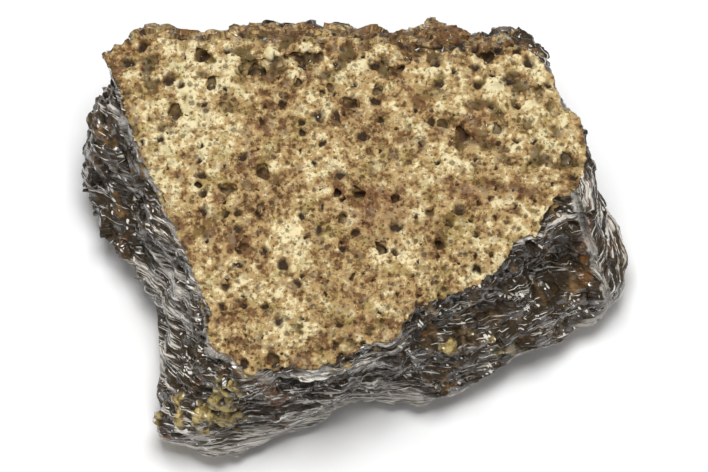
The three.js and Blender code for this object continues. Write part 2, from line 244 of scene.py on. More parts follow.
class FossilPores(bpy.types.PropertyGroup):
    """Pores and crust of the spongy face."""

    fine_spacing: length("Fine pore spacing", "Between neighbouring fine pores", 0.0006)
    fine_depth: length("Fine pore depth", "Depth of the fine pores", 0.00022)
    medium_spacing: length("Medium pore spacing", "Between places for medium pores", 0.0017)
    medium_depth: length("Medium pore depth", "Depth of the medium pores", 0.0005)
    crust_height: length("Crust height", "Height of the crumbs between the pores", 0.0002)
    swell_height: length("Swell height", "Lumps and hollows of the face", 0.0016)
    crumb_height: length("Crumb height", "Height of the crumbs at the face's edge", 0.0009)
    fray: length("Fray", "How far the face's edges and pits are frayed sideways", 0.0009)


class FossilWalls(bpy.types.PropertyGroup):
    """Layers, streaks and chips of the walls."""

    ledge_thickness: length("Ledge thickness", "Thickness of a layer that stands out", 0.0016)
    ledge_height: length("Ledge height", "How far a layer stands out", 0.0006)
    streak_thickness: length("Streak thickness", "Thickness of a fibrous streak", 0.0005)
    streak_height: length("Streak height", "How far a streak stands out", 0.0003)
    chip_size: length("Chip size", "Height of a glassy chip", 0.0012)
    chip_height: length("Chip height", "How far a chip tilts out", 0.0007)
    lump_height: length("Lump height", "How far a yellow lump stands out", 0.0004)
    stretch: bpy.props.FloatProperty(
        name="Stretch", description="Length of a streak, in thicknesses", default=12, min=1
    )


class FossilColours(bpy.types.PropertyGroup):
    """Colours of the spongy face and of the walls."""

    cream: colour("Cream", "Lightest crust of the spongy face", (244, 228, 180))
    tan: colour("Tan", "Middle colour of the spongy face", (190, 158, 104))
    brown: colour("Brown", "Stained crust of the spongy face", (120, 84, 48))
    rust: colour("Rust", "Red-brown stain", (132, 80, 50))
    olive: colour("Olive", "Green-yellow tint", (150, 136, 64))
    # Dark olive of the hollows between the swells: partly the crust's tint, partly painted shade
    dark_olive_and_shade: colour("Moss", "Dark green-brown in the hollows", (98, 82, 42))
    grey: colour("Grey", "Grey tint between the pores", (160, 146, 120))
    # Pore: dark brown of the pores, partly their own stain and partly painted shade
    pore_stain_and_shade: colour("Pore", "Bottom of a pore", (56, 36, 18))
    # Glint: painted highlight, near-white specks blended into the crust's colour
    glint: colour("Glint", "Bright specks in the crust", (255, 246, 214))
    wall: colour("Wall", "Darkest wall", (62, 51, 37))
    bark: colour("Bark", "Brown of the walls", (162, 128, 84))
    amber: colour("Amber", "Red-brown patches of the walls", (150, 98, 48))
    ochre: colour("Ochre", "Dark of the yellow lumps", (118, 94, 46))
    straw: colour("Straw", "Light of the yellow lumps", (214, 192, 124))
    # Fibre: partly the walls' grey fibres, partly painted sheen where the glossy walls mirror the pale
    # floor
    fibre_and_sheen: colour("Fibre", "Grey fibres of the walls", (236, 229, 218))
    # Painted glints: near-white colour on the splinters and crumbs, standing in for highlights
    painted_glint_splinter: colour("Splinter", "Glassy splinters of the walls", (252, 247, 236))


class FossilStage(bpy.types.PropertyGroup):
    """Floor, light and camera."""

    floor_size: length("Floor size", "Length of the floor's sides", 3.0)
    floor: colour("Floor", "Plain pale floor", (250, 250, 250))
    distance: length("Camera distance", "From the camera to the middle of the chunk", 1.2)
    elevation: bpy.props.FloatProperty(
        name="Camera elevation",
        description="Of the camera above the ground",
        default=math.radians(72),
        subtype="ANGLE",
        unit="ROTATION",
    )
    view_width: length("View width", "Width that the photograph shows at the chunk", 0.0623)
    key_power: bpy.props.FloatProperty(
        name="Key light", description="Power of the soft light overhead", default=2.1, unit="POWER"
    )
    ring_power: bpy.props.FloatProperty(
        name="Ring lights",
        description="Power of each soft light round the chunk",
        default=0.09,
        unit="POWER",
    )
    world_light: bpy.props.FloatProperty(
        name="Room light", description="Brightness of the pale room", default=0.07, min=0
    )


class Graph:
    """Adds nodes to a tree and links them, so that a pattern reads as a formula."""

    def __init__(self, tree):
        self.tree = tree

    def add(self, kind, inputs=None, **settings):
        """One node, with its settings, and its inputs by name or number."""
        node = self.tree.nodes.new(kind)
        for name, value in settings.items():
            setattr(node, name, value)
        for name, value in (inputs or {}).items():
            self.put(node.inputs[name], value)
        return node

    def put(self, socket, value):
        """Links a socket to another, or gives it a plain value."""
        if isinstance(value, bpy.types.NodeSocket):
            self.tree.links.new(value, socket)
        else:
            socket.default_value = value

    def math(self, operation, *values, clamp=False):
        inputs = dict(enumerate(values))
        return self.add("ShaderNodeMath", inputs, operation=operation, use_clamp=clamp).outputs[0]

    def sum(self, first, *others):
        for other in others:
            first = self.math("ADD", first, other)
        return first

    def times(self, first, *others):
        for other in others:
            first = self.math("MULTIPLY", first, other)
        return first

    def attribute(self, name, output="Fac"):
        """What is painted on the mesh under a name."""
        if self.tree.bl_idname == "ShaderNodeTree":
            return self.add("ShaderNodeAttribute", attribute_name=name).outputs[output]
        return self.add("GeometryNodeInputNamedAttribute", {"Name": name}).outputs[0]

    def centred(self, place, size, **settings):
        """Noise from about -0.5 to 0.5."""
        return self.math("SUBTRACT", self.noise(place, size, **settings).outputs[0], 0.5)

    def shaking(self, place, size, detail=2.0):
        """Noise from about -0.5 to 0.5 in x and y, with lumps of a size."""
        noise = self.noise(place, size, detail=detail).outputs[1]
        about_zero = self.vector("SUBTRACT", noise, (0.5, 0.5, 0.5))
        return self.vector("MULTIPLY", about_zero, (1.0, 1.0, 0.0))

    def shaken(self, place, size, reach):
        """The place moved about by noise with lumps of a size, level only."""
        sideways = self.join(reach, reach, 0.0)
        return self.vector("MULTIPLY_ADD", self.shaking(place, size), sideways, place)

    def scaled(self, place, size):
        """A place in units of a size."""
        node = self.add("ShaderNodeVectorMath", {0: place}, operation="SCALE")
        self.put(node.inputs["Scale"], self.math("DIVIDE", 1.0, size))
        return node.outputs[0]

    def vector(self, operation, *values):
        """A vector formula. A dot product gives a number."""
        node = self.add("ShaderNodeVectorMath", dict(enumerate(values)), operation=operation)
        return node.outputs[1 if operation == "DOT_PRODUCT" else 0]

    def parts(self, place):
        """The x, y and z of a vector, or the red, green and blue of a colour."""
        return self.add("ShaderNodeSeparateXYZ", {0: place}).outputs

    def join(self, x, y, z):
        return self.add("ShaderNodeCombineXYZ", {0: x, 1: y, 2: z}).outputs[0]

    def noise(self, place, size, detail=3.0, rough=0.5):
        """Soft noise from about 0 to 1, with lumps of a size."""
        inputs = {"Vector": self.scaled(place, size), "Scale": 1.0}
        inputs.update({"Detail": detail, "Roughness": rough})
        return self.add("ShaderNodeTexNoise", inputs)

    def cells(self, place, size, flat=False):
        """Cells of a size. Flat ones lie in the plan."""
        kind = "2D" if flat else "3D"
        inputs = {"Vector": self.scaled(place, size), "Scale": 1.0}
        return self.add("ShaderNodeTexVoronoi", inputs, voronoi_dimensions=kind)

    def ramp(self, value, low, high, start=0.0, end=1.0):
        """Rises smoothly from start to end while the value goes from low to high."""
        inputs = {0: value, 1: low, 2: high, 3: start, 4: end}
        return self.add("ShaderNodeMapRange", inputs, interpolation_type="SMOOTHSTEP").outputs[0]

    def mix(self, factor, first, second):
        """From the first number to the second."""
        return self.add("ShaderNodeMix", {0: factor, 2: first, 3: second}).outputs[0]

    def blend(self, factor, first, second):
        """From the first colour to the second."""
        node = self.add("ShaderNodeMix", data_type="RGBA", blend_type="MIX")
        for index, value in ((0, factor), (6, first), (7, second)):
            if index and not isinstance(value, bpy.types.NodeSocket):
                value = (*value, 1.0)
            self.put(node.inputs[index], value)
        return node.outputs[2]


# Patterns that the relief and the colour share. Places and lengths are in millimetres.

PORE_KINDS = {"fine": (0.5, 0.26), "medium": (0.5, 0.2)}  # share of places with a pore, and its radius
PORE_SHAKE = 0.55  # how crooked a pore is, as a share of the spacing
SWELL_LENGTH = 1.7
CREVICE_LENGTH = 0.36
CREVICE_CROWDING = 2.2  # size of the places where the crevices crowd together
LAYER_DIP = 0.8  # fall of the walls' layers, for each length towards the back
LAYER_SWING = 1.4  # how far the layers swing up and down
LAYER_SWING_LENGTH = 8.0
FACET_ACROSS = (0.41, 0.53, -1.23)  # across the layers of the facet to the right of the crest
FACET_SHIFT = -10.4  # brings them level with the other layers at the crest
SPLINTER_RUN = (0.7, -0.6, -0.39)  # the way that the glassy splinters and chips lie
SPLINTER_STRETCH = 2.8  # their length, in widths
SPLINTER_THICKNESS = 0.22
GLINT_SIZE = 0.27
GLINT_CLUSTER = 1.3  # size of the places where the glints crowd together
OCHRE_LENGTH = 1.3


def plan_of(graph, place):
    """The place seen from above."""
    x, y, _ = graph.parts(place)
    return graph.join(x, y, 0.0)


def pores(graph, plan, spacing, kind):
    """1 in an open pore and 0 outside. Each cell has a crooked pore of its own size, or none."""
    presence, radius = PORE_KINDS[kind]
    crooked = graph.shaken(plan, graph.times(spacing, 0.4), graph.times(spacing, PORE_SHAKE))
    cells = graph.cells(crooked, spacing, flat=True)
    chance, size, _ = graph.parts(cells.outputs["Color"])
    reach = graph.math("MULTIPLY_ADD", graph.times(size, size), radius * 1.2, radius * 0.4)
    inside = graph.ramp(graph.math("DIVIDE", cells.outputs["Distance"], reach), 1.35, 0.45)
    return graph.times(inside, graph.math("LESS_THAN", chance, presence))


def swells(graph, plan):
    """Lumps and hollows of the spongy face, from about -0.5 to 0.5, stronger where it is rugged."""
    strength = graph.sum(graph.attribute("ruggedness"), 0.3)
    return graph.times(graph.centred(plan, SWELL_LENGTH, detail=2.0), strength)


def crevices(graph, plan):
    """1 in the finest, shapeless openings of the crust, which crowd together in places."""
    crowding = graph.times(graph.centred(plan, CREVICE_CROWDING, detail=2.0), 0.3)
    openings = graph.noise(plan, CREVICE_LENGTH, detail=2.0, rough=0.6).outputs[0]
    return graph.ramp(graph.sum(openings, crowding), 0.43, 0.33)


def layered(graph, place, stretch):
    """The place in layers that dip and swing: lengths along them are shrunk by the stretch."""
    x, y, z = graph.parts(place)
    swing = graph.times(graph.centred(place, LAYER_SWING_LENGTH, detail=1.0), LAYER_SWING)
    front = graph.sum(z, graph.times(y, LAYER_DIP))
    across = graph.vector("DOT_PRODUCT", place, FACET_ACROSS)
    side = graph.math("SUBTRACT", across, FACET_SHIFT)
    height = graph.sum(graph.mix(graph.attribute("facet"), front, side), swing)
    shrink = graph.math("DIVIDE", 1.0, stretch)
    return graph.join(graph.times(x, shrink), graph.times(y, shrink), height)


def fibres(graph, layers, thickness):
    """About 1 on the fibres that run along the layers, and 0 in the sharp cracks between them."""
    noise = graph.centred(layers, thickness, detail=2.0, rough=0.55)
    return graph.times(graph.math("ABSOLUTE", noise), 4.5)


def fibrous_zones(graph):
    """1 where the walls are fibrous, and 0 where they are glassy and blocky."""
    return graph.ramp(graph.attribute("greyness_and_sheen"), 0.1, 0.6)


def slanted(graph, place):
    """The place shrunk along the way that the glassy splinters lie."""
    along = graph.vector("DOT_PRODUCT", place, SPLINTER_RUN)
    shrink = graph.times(along, 1 / SPLINTER_STRETCH - 1)
    return graph.vector("MULTIPLY_ADD", SPLINTER_RUN, graph.join(shrink, shrink, shrink), place)


def ochre_lumps(graph, place):
    """1 on the yellow lumps low on the walls and 0 beside them."""
    ochre = graph.attribute("ochre")
    lump = graph.times(graph.centred(place, OCHRE_LENGTH, detail=1.0), 1.8)
    raised = graph.ramp(graph.sum(graph.times(ochre, 0.35), lump), 0.2, 0.36)
    return graph.times(raised, graph.ramp(ochre, 0.1, 0.5))


def painted_glint_flecks(graph, place, layers):
    """1 on painted glints: glassy splinters and crumbs whose catch of the light is painted as
    near-white colour, and 0 beside them.
    """
    painted_glint_splinter = graph.centred(layers, SPLINTER_THICKNESS, detail=2.0, rough=0.5)
    glints = graph.attribute("glints")
    crowding = graph.sum(graph.times(fibrous_zones(graph), 0.07), graph.times(glints, 0.04))
    thin = graph.ramp(graph.sum(painted_glint_splinter, crowding), 0.18, 0.21)
    cells = graph.cells(slanted(graph, place), GLINT_SIZE)
    cluster = graph.ramp(graph.centred(place, GLINT_CLUSTER, detail=2.0), -0.02, 0.14, 0.12, 1.0)
    share = graph.times(graph.math("MULTIPLY_ADD", glints, 0.45, 0.12), cluster)
    chance, size, _ = graph.parts(cells.outputs["Color"])
    bright = graph.math("LESS_THAN", chance, share)
    reach = graph.math("MULTIPLY_ADD", size, 0.35, 0.22)
    blunt = graph.ramp(graph.math("DIVIDE", cells.outputs["Distance"], reach), 1.1, 0.8)
    return graph.math("MAXIMUM", thin, graph.times(blunt, bright))


def chips(graph, place, size):
    """Flat chips, each tilted its own way, from about -0.5 to 0.5."""
    cells = graph.cells(place, size)
    away = graph.vector("SUBTRACT", graph.scaled(place, size), cells.outputs["Position"])
    tilt = graph.vector("SUBTRACT", cells.outputs["Color"], (0.5, 0.5, 0.5))
    return graph.times(graph.vector("DOT_PRODUCT", away, tilt), 1.6)


# The relief

LEVEL_STEPS = 120  # blurring steps that level out the pits and the groove
UPNESS_STEPS = 8  # blurring steps that even out how far the surface looks up
RAGGED_LENGTH = 0.6  # the ragged edges of the pits
FRAY_LENGTH = 1.0
CRUST_LENGTH = 0.5
CRUMB_LENGTH = 1.0
RELIEF_INPUTS = (
    ("pores", "fine_spacing"),
    ("pores", "fine_depth"),
    ("pores", "medium_spacing"),
    ("pores", "medium_depth"),
    ("pores", "crust_height"),
    ("pores", "swell_height"),
    ("pores", "crumb_height"),
    ("pores", "fray"),
    ("walls", "ledge_thickness"),
    ("walls", "ledge_height"),
    ("walls", "streak_thickness"),
    ("walls", "streak_height"),
    ("walls", "chip_size"),
    ("walls", "chip_height"),
    ("walls", "lump_height"),
)


def relief_tree(material, face_height):
    """Geometry Nodes that sink the pores and raise the walls' layers, streaks and chips."""
    tree = bpy.data.node_groups.new("fossil_relief", "GeometryNodeTree")
    tree.interface.new_socket("Geometry", in_out="INPUT", socket_type="NodeSocketGeometry")
    for _, name in RELIEF_INPUTS:
        label = name.replace("_", " ").capitalize()
        tree.interface.new_socket(label, in_out="INPUT", socket_type="NodeSocketFloat")
    tree.interface.new_socket("Stretch", in_out="INPUT", socket_type="NodeSocketFloat")
    tree.interface.new_socket("Geometry", in_out="OUTPUT", socket_type="NodeSocketGeometry")

    graph = Graph(tree)
    given = graph.add("NodeGroupInput").outputs
    size = {name: graph.times(given[i + 1], 1 / MM) for i, (_, name) in enumerate(RELIEF_INPUTS)}
    stretch = given["Stretch"]
    before = graph.scaled(graph.add("GeometryNodeInputPosition").outputs[0], MM)
    normal = graph.add("GeometryNodeInputNormal").outputs[0]
    upness = graph.parts(normal)[2]
    blurred = graph.add("GeometryNodeBlurAttribute", {0: upness, "Iterations": UPNESS_STEPS}).outputs[0]
    _, y, z = graph.parts(before)

    level = graph.add("GeometryNodeBlurAttribute", {0: z, "Iterations": LEVEL_STEPS}).outputs[0]
    ragged = graph.times(graph.centred(before, RAGGED_LENGTH, detail=2.0), 0.75)
    hollow = graph.ramp(graph.sum(graph.math("SUBTRACT", level, z), ragged), 0.1, 0.55)

    rim = graph.attribute("rim")
    top = graph.ramp(z, *[face_height - below for below in FACE_BAND])
    edge = graph.times(graph.ramp(rim, -0.5, 0.1), graph.ramp(blurred, 0.4, 0.7))
    spongy = graph.times(graph.math("MAXIMUM", graph.ramp(rim, 0.5, 1.3), edge), top)
    stain = graph.ramp(z, *[face_height - below for below in STAIN_BAND])
    back = graph.times(graph.ramp(y, *STAIN_EDGE), stain)
    spongy_back = graph.math("MAXIMUM", spongy, graph.times(back, STAIN_STRENGTH))

    reach = graph.times(size["fray"], spongy)
    shaking = graph.shaking(before, FRAY_LENGTH, detail=1.0)
    place = graph.vector("MULTIPLY_ADD", shaking, graph.join(reach, reach, 0.0), before)
    plan = plan_of(graph, place)
    fine = graph.times(pores(graph, plan, size["fine_spacing"], "fine"), size["fine_depth"])
    medium = graph.times(pores(graph, plan, size["medium_spacing"], "medium"), size["medium_depth"])
    shapeless = graph.times(crevices(graph, plan), size["fine_depth"])
    deepest = graph.math("MAXIMUM", graph.math("MAXIMUM", fine, medium), shapeless)
    crust = graph.centred(place, CRUST_LENGTH, detail=3.0, rough=0.6)
    near_rim = graph.ramp(graph.math("ABSOLUTE", rim), 1.2, 0.2)
    crumbs = graph.times(graph.centred(place, CRUMB_LENGTH), near_rim)
    swell_share = graph.math("SUBTRACT", 1.0, hollow)
    face = graph.sum(
        graph.times(crust, size["crust_height"], 2.0),
        graph.times(swells(graph, plan), size["swell_height"], swell_share),
        graph.times(hollow, -0.4),
        graph.times(deepest, -1.0),
    )

    layers = layered(graph, place, stretch)
    ledges = layered(graph, place, graph.times(stretch, 0.5))
    splinters = slanted(graph, place)
    fibrous = fibrous_zones(graph)
    streak_share = graph.mix(fibrous, 0.3, 1.0)
    chip_share = graph.mix(fibrous, 1.0, 0.25)
    ledge_share = graph.mix(fibrous, 0.4, 1.0)
    behind = graph.ramp(y, *BEHIND)
    low, high = [graph.mix(behind, front, back) for front, back in zip(*RELIEF_FOOT)]
    foot = graph.ramp(z, low, high, 0.12, 1.0)
    ledge = graph.math("SUBTRACT", fibres(graph, ledges, size["ledge_thickness"]), 0.4)
    streak = graph.math("SUBTRACT", fibres(graph, layers, size["streak_thickness"]), 0.4)
    wall = graph.sum(
        graph.times(ledge, size["ledge_height"], ledge_share, foot),
        graph.times(streak, size["streak_height"], streak_share, foot),
        graph.times(chips(graph, splinters, size["chip_size"]), size["chip_height"], chip_share, foot),
        graph.times(ochre_lumps(graph, place), size["lump_height"]),
    )

    relief = graph.sum(graph.mix(spongy, wall, face), graph.times(crumbs, size["crumb_height"]))
    moved = graph.vector("MULTIPLY_ADD", normal, graph.join(relief, relief, relief), place)
    moved_x, moved_y, moved_z = graph.parts(graph.scaled(moved, 1 / MM))
    grounded = graph.join(moved_x, moved_y, graph.math("MAXIMUM", moved_z, 0.0))
    stored = given[0]
    painted = (
        ("spongy", "FLOAT", spongy_back),
        # Painted shade for the pits and the groove, read by the material
        ("hollow", "FLOAT", graph.times(hollow, spongy)),
        ("unshaped", "FLOAT_VECTOR", place),
    )
    for name, kind, value in painted:
        inputs = {"Geometry": stored, "Name": name}
        node = graph.add("GeometryNodeStoreNamedAttribute", inputs, data_type=kind)
        graph.put(node.inputs["Value"], value)
        stored = node.outputs[0]
    inputs = {"Geometry": stored, "Position": grounded}
    shaped = graph.add("GeometryNodeSetPosition", inputs).outputs[0]
    smooth = graph.add("GeometryNodeSetShadeSmooth", {"Geometry": shaped}).outputs[0]
    real = graph.add("GeometryNodeRealizeInstances", {"Geometry": smooth}).outputs[0]
    inputs = {"Geometry": real, "Material": material}
    dressed = graph.add("GeometryNodeSetMaterial", inputs).outputs[0]
    graph.add("NodeGroupOutput", {0: dressed})
    return tree


# The material. Lengths are in millimetres.

STAIN_LENGTH = 3.0
BLOTCH_LENGTH = 0.9
GRAIN_LENGTH = 0.36
OLIVE_LENGTH = 1.7
DUST_LENGTH = 1.1
GLINT_SPECK_LENGTH = 0.2
STRAND_THICKNESS = 1.1  # broad streaks of the walls
THREAD_THICKNESS = 0.2  # fine ones
MOTTLE_LENGTH = 0.5
BLOCK_LENGTH = 1.3
AMBER_LENGTH = 1.4
COARSE_CRACKS = 0.5
FINE_CRACKS = 0.24
FACE_EDGE_LENGTH = 0.5
GLOSS_THICKNESS = 0.5
BUMP_CRUMBS = 0.3
BUMP_FIBRES = 0.25
BUMP_CHIPS = 0.7


def face_colour(graph, place, plan, pore_shade, colours):
    """Tan crust, stained and spotted, with painted shade in its pores and hollows (partly their own
    stain) and painted glint specks.
    """
    redness = graph.attribute("redness")
    grain = graph.centred(place, GRAIN_LENGTH, detail=3.0, rough=0.65)
    level = graph.sum(
        graph.times(graph.centred(place, STAIN_LENGTH, detail=3.0, rough=0.55), 2.6),
        graph.times(graph.centred(place, BLOTCH_LENGTH, detail=3.0, rough=0.6), 2.8),
        # Lighter on the swells and darker between them: partly the crust's tone, partly painted light
        # and shade on the relief
        graph.times(swells(graph, plan), 3.0),
        graph.times(grain, 2.3),
        graph.times(graph.attribute("lightness"), 0.46),
        0.42,
    )
    crust = graph.blend(graph.ramp(level, -0.15, 0.5), colours.brown, colours.tan)
    crust = graph.blend(graph.ramp(level, 0.5, 1.15), crust, colours.cream)
    red = graph.times(graph.ramp(redness, 0.0, 1.0), graph.ramp(grain, -0.1, 0.1))
    crust = graph.blend(graph.times(red, 0.6), crust, colours.rust)
    green = graph.ramp(graph.noise(place, OLIVE_LENGTH, detail=2.0).outputs[0], 0.54, 0.7)
    green = graph.math("ADD", green, graph.ramp(redness, 0.0, -1.0), clamp=True)
    crust = graph.blend(graph.times(green, 0.35), crust, colours.olive)
    # Darker olive in the hollows between the swells: partly tint, partly painted shade
    hollow_tint_and_shade = graph.ramp(swells(graph, plan), -0.03, -0.15, 0.0, 0.8)
    crust = graph.blend(hollow_tint_and_shade, crust, colours.dark_olive_and_shade)
    dust = graph.ramp(graph.noise(plan, DUST_LENGTH, detail=3.0).outputs[0], 0.52, 0.7)
    crust = graph.blend(graph.times(dust, 0.4), crust, colours.grey)
    crust = graph.blend(pore_shade, crust, colours.pore_stain_and_shade)
    # Painted highlights: rare near-white specks over the crust, crowded in places
    crowding = graph.times(graph.centred(place, BLOTCH_LENGTH), 0.3)
    painted_glint_speck = graph.sum(graph.centred(place, GLINT_SPECK_LENGTH, detail=2.0), crowding)
    return graph.blend(graph.ramp(painted_glint_speck, 0.2, 0.25, 0.0, 0.85), crust, colours.glint)


def wall_colour(graph, place, layers, colours):
    """Near black, with brown, amber, ochre and grey streaks along the layers. The grey is partly
    painted sheen, and the light splinters are painted glints.
    """
    x, y, z = graph.parts(place)
    broad = graph.centred(layers, STRAND_THICKNESS, detail=3.0, rough=0.6)
    thin = graph.centred(layers, THREAD_THICKNESS, detail=3.0, rough=0.65)
    grain = graph.centred(place, MOTTLE_LENGTH, detail=3.0, rough=0.6)
    lumps = ochre_lumps(graph, place)
    fibrous = fibrous_zones(graph)
    blocks = graph.centred(slanted(graph, place), BLOCK_LENGTH, detail=2.0)
    blocky = graph.sum(blocks, graph.times(grain, 0.5), -0.07)
    level = graph.mix(fibrous, blocky, graph.sum(broad, graph.times(thin, 0.6)))
    body = graph.blend(graph.ramp(level, -0.05, 0.3), colours.wall, colours.bark)
    amber_patch = graph.attribute("amber")
    amber = graph.sum(
        graph.centred(place, AMBER_LENGTH, detail=3.0),
        graph.times(amber_patch, 0.22),
        graph.times(thin, 0.4),
    )
    body = graph.blend(graph.times(graph.ramp(amber, 0.16, 0.4), 0.8), body, colours.amber)
    greyness_and_sheen = graph.sum(
        graph.attribute("greyness_and_sheen"),
        graph.times(lumps, -2.0),
        graph.times(amber_patch, -0.6),
    )
    # Grey fibres, partly painted sheen, crowding in the grey patches
    fibre_and_sheen = graph.sum(graph.times(thin, 1.25), graph.times(broad, 1.2), graph.times(greyness_and_sheen, 0.19))
    body = graph.blend(graph.times(graph.ramp(fibre_and_sheen, 0.16, 0.29), 0.95), body, colours.fibre_and_sheen)
    height = graph.sum(z, graph.times(broad, 2.0))
    foot = graph.times(*[graph.ramp(height, *band) for band in FOOT_LINE], graph.ramp(y, *FOOT_END))
    crest = graph.ramp(graph.sum(graph.attribute("crest"), graph.times(grain, 0.9)), 0.4, 0.65)
    rim = graph.attribute("rim")
    # Painted highlight: a pale line just outside the left rim's edge
    at_rim = graph.times(graph.ramp(rim, -0.45, -0.3), graph.ramp(rim, 0.2, 0.0))
    rim_highlight = graph.times(at_rim, graph.ramp(x, *LIP_END), graph.ramp(z, *LIP_BAND), 0.8)
    # Pale lines along the front foot and the crest, and the painted rim highlight
    pale = graph.math("MAXIMUM", graph.math("MAXIMUM", foot, crest), rim_highlight)
    body = graph.blend(graph.times(pale, graph.ramp(thin, -0.2, 0.05), 0.75), body, colours.fibre_and_sheen)
    yellow = graph.blend(graph.ramp(grain, -0.16, 0.12), colours.ochre, colours.straw)
    body = graph.blend(graph.times(lumps, 0.85), body, yellow)
    coarse = graph.ramp(fibres(graph, layers, COARSE_CRACKS), 0.22, 0.08, 0.0, 0.9)
    fine = graph.ramp(fibres(graph, layers, FINE_CRACKS), 0.22, 0.06, 0.0, 0.5)
    bare = graph.math("SUBTRACT", 1.0, lumps)
    crack = graph.times(graph.math("MAXIMUM", coarse, fine), bare, graph.mix(fibrous, 0.35, 1.0))
    body = graph.blend(crack, body, colours.wall)
    # Painted highlights: near-white glints over the walls
    return graph.blend(graph.times(painted_glint_flecks(graph, place, layers), 0.95), body, colours.painted_glint_splinter)


def fossil_material(pore_sizes, wall_sizes, colours):
    """Spongy tan and glossy dark bone in one material, parted by what is painted on the mesh."""
    material = bpy.data.materials.new("fossil_bone")
    material.use_nodes = True
    tree = material.node_tree
    tree.nodes.clear()
    graph = Graph(tree)
    place = graph.attribute("unshaped", "Vector")
    plan = plan_of(graph, place)
    layers = layered(graph, place, wall_sizes.stretch)

    edge = graph.centred(place, FACE_EDGE_LENGTH, detail=3.0)
    spongy = graph.ramp(graph.sum(graph.attribute("spongy"), graph.times(edge, 0.9)), 0.38, 0.58)

    fine = pores(graph, plan, pore_sizes.fine_spacing / MM, "fine")
    medium = pores(graph, plan, pore_sizes.medium_spacing / MM, "medium")
    # Dark in the pores and crevices, partly their own stain and partly painted shade, and painted shade
    # in the pits and the groove
    shade = graph.math("MAXIMUM", graph.times(fine, 0.68), medium)
    shade = graph.math("MAXIMUM", shade, graph.times(crevices(graph, plan), 0.52))
    shade = graph.math("MAXIMUM", shade, graph.attribute("hollow"))

    face = face_colour(graph, place, plan, shade, colours)
    wall = wall_colour(graph, place, layers, colours)
    base = graph.blend(spongy, wall, face)

    sheen = graph.noise(layers, GLOSS_THICKNESS, detail=3.0).outputs[0]
    gloss = graph.ramp(sheen, 0.35, 0.7, 0.12, 0.35)
    roughness = graph.mix(spongy, gloss, 0.72)
    glaze = graph.centred(layered(graph, place, 3.0), GLOSS_THICKNESS, detail=2.0)
    glassy = graph.ramp(glaze, -0.03, 0.1)

    crumbs = graph.noise(place, BUMP_CRUMBS, detail=4.0, rough=0.7).outputs[0]
    face_bump = graph.sum(graph.times(crumbs, 0.16), graph.times(shade, -0.14))
    fibrous = fibrous_zones(graph)
    chipped = chips(graph, slanted(graph, place), BUMP_CHIPS)
    wall_bump = graph.sum(
        graph.times(fibres(graph, layers, BUMP_FIBRES), 0.07, fibrous),
        graph.times(chipped, graph.mix(fibrous, 0.5, 0.25)),
    )
    bump = graph.add("ShaderNodeBump", {"Strength": 1.0, "Distance": MM})
    graph.put(bump.inputs["Height"], graph.mix(spongy, wall_bump, face_bump))

    surface = graph.add("ShaderNodeBsdfPrincipled", {"Base Color": base, "Roughness": roughness})
    surface.inputs["IOR"].default_value = 1.45
    surface.inputs["Coat Roughness"].default_value = 0.06
    surface.inputs["Coat IOR"].default_value = 1.6
    graph.put(surface.inputs["Coat Weight"], graph.mix(spongy, glassy, 0.0))
    graph.put(surface.inputs["Normal"], bump.outputs[0])
    graph.put(surface.inputs["Coat Normal"], bump.outputs[0])
    graph.add("ShaderNodeOutputMaterial", {0: surface.outputs[0]})
    return material


# The piece

MERGE_DISTANCE = 0.01 * MM
ROUNDING_FACTOR = 0.5


def smooth_copy(node, sizes):
    """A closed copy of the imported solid, to carry the modifiers that make the fine skin."""
    mesh = node.data.copy()
    mesh.materials.clear()
    piece = bpy.data.objects.new("fossil_bone_section", mesh)
    bpy.context.scene.collection.objects.link(piece)
    merge = piece.modifiers.new("merge", "WELD")
    merge.merge_threshold = MERGE_DISTANCE
    even = piece.modifiers.new("even", "REMESH")
    even.mode = "VOXEL"
    even.voxel_size = sizes.cell
    rounded = piece.modifiers.new("rounded", "SMOOTH")
    rounded.factor = ROUNDING_FACTOR
    rounded.iterations = sizes.rounding
    return piece


def apply_modifiers(piece):
    """Turns what the modifiers make into the piece's own plain mesh."""
    graph = bpy.context.evaluated_depsgraph_get()
    mesh = bpy.data.meshes.new_from_object(
        piece.evaluated_get(graph), preserve_all_data_layers=True, depsgraph=graph
    )
    old = piece.data
    piece.modifiers.clear()
    piece.data = mesh
    bpy.data.meshes.remove(old)


def from_line(x, y, start, end):
    """How far each place lies from a line between two ends, seen from above."""
    run_x, run_y = end[0] - start[0], end[1] - start[1]
    along = ((x - start[0]) * run_x + (y - start[1]) * run_y) / (run_x**2 + run_y**2)
    along = np.clip(along, 0, 1)
    return np.hypot(x - start[0] - along * run_x, y - start[1] - along * run_y)


def right_of_crest(x, y):
    """1 to the right of the crest's line, and 0 to the left."""
    (from_x, from_y), (to_x, to_y) = CREST
    across = (x - from_x) * (from_y - to_y) + (y - from_y) * (to_x - from_x)
    away = across / math.hypot(to_x - from_x, to_y - from_y)
    return np.clip(away / FACET_EDGE + 0.5, 0, 1)


def inside_rim(x, y):
    """How far inside the spongy face's edge each place lies, seen from above: below 0 outside."""
    nearest = np.full(len(x), np.inf, np.float32)
    inside = np.zeros(len(x), bool)
    for start, end in zip(RIM, RIM[1:] + RIM[:1]):
        nearest = np.minimum(nearest, from_line(x, y, start, end))
        level = (start[1] > y) != (end[1] > y)
        inside ^= level & (x < start[0] + (y - start[1]) * (end[0] - start[0]) / (end[1] - start[1]))
    return np.where(inside, nearest, -nearest)


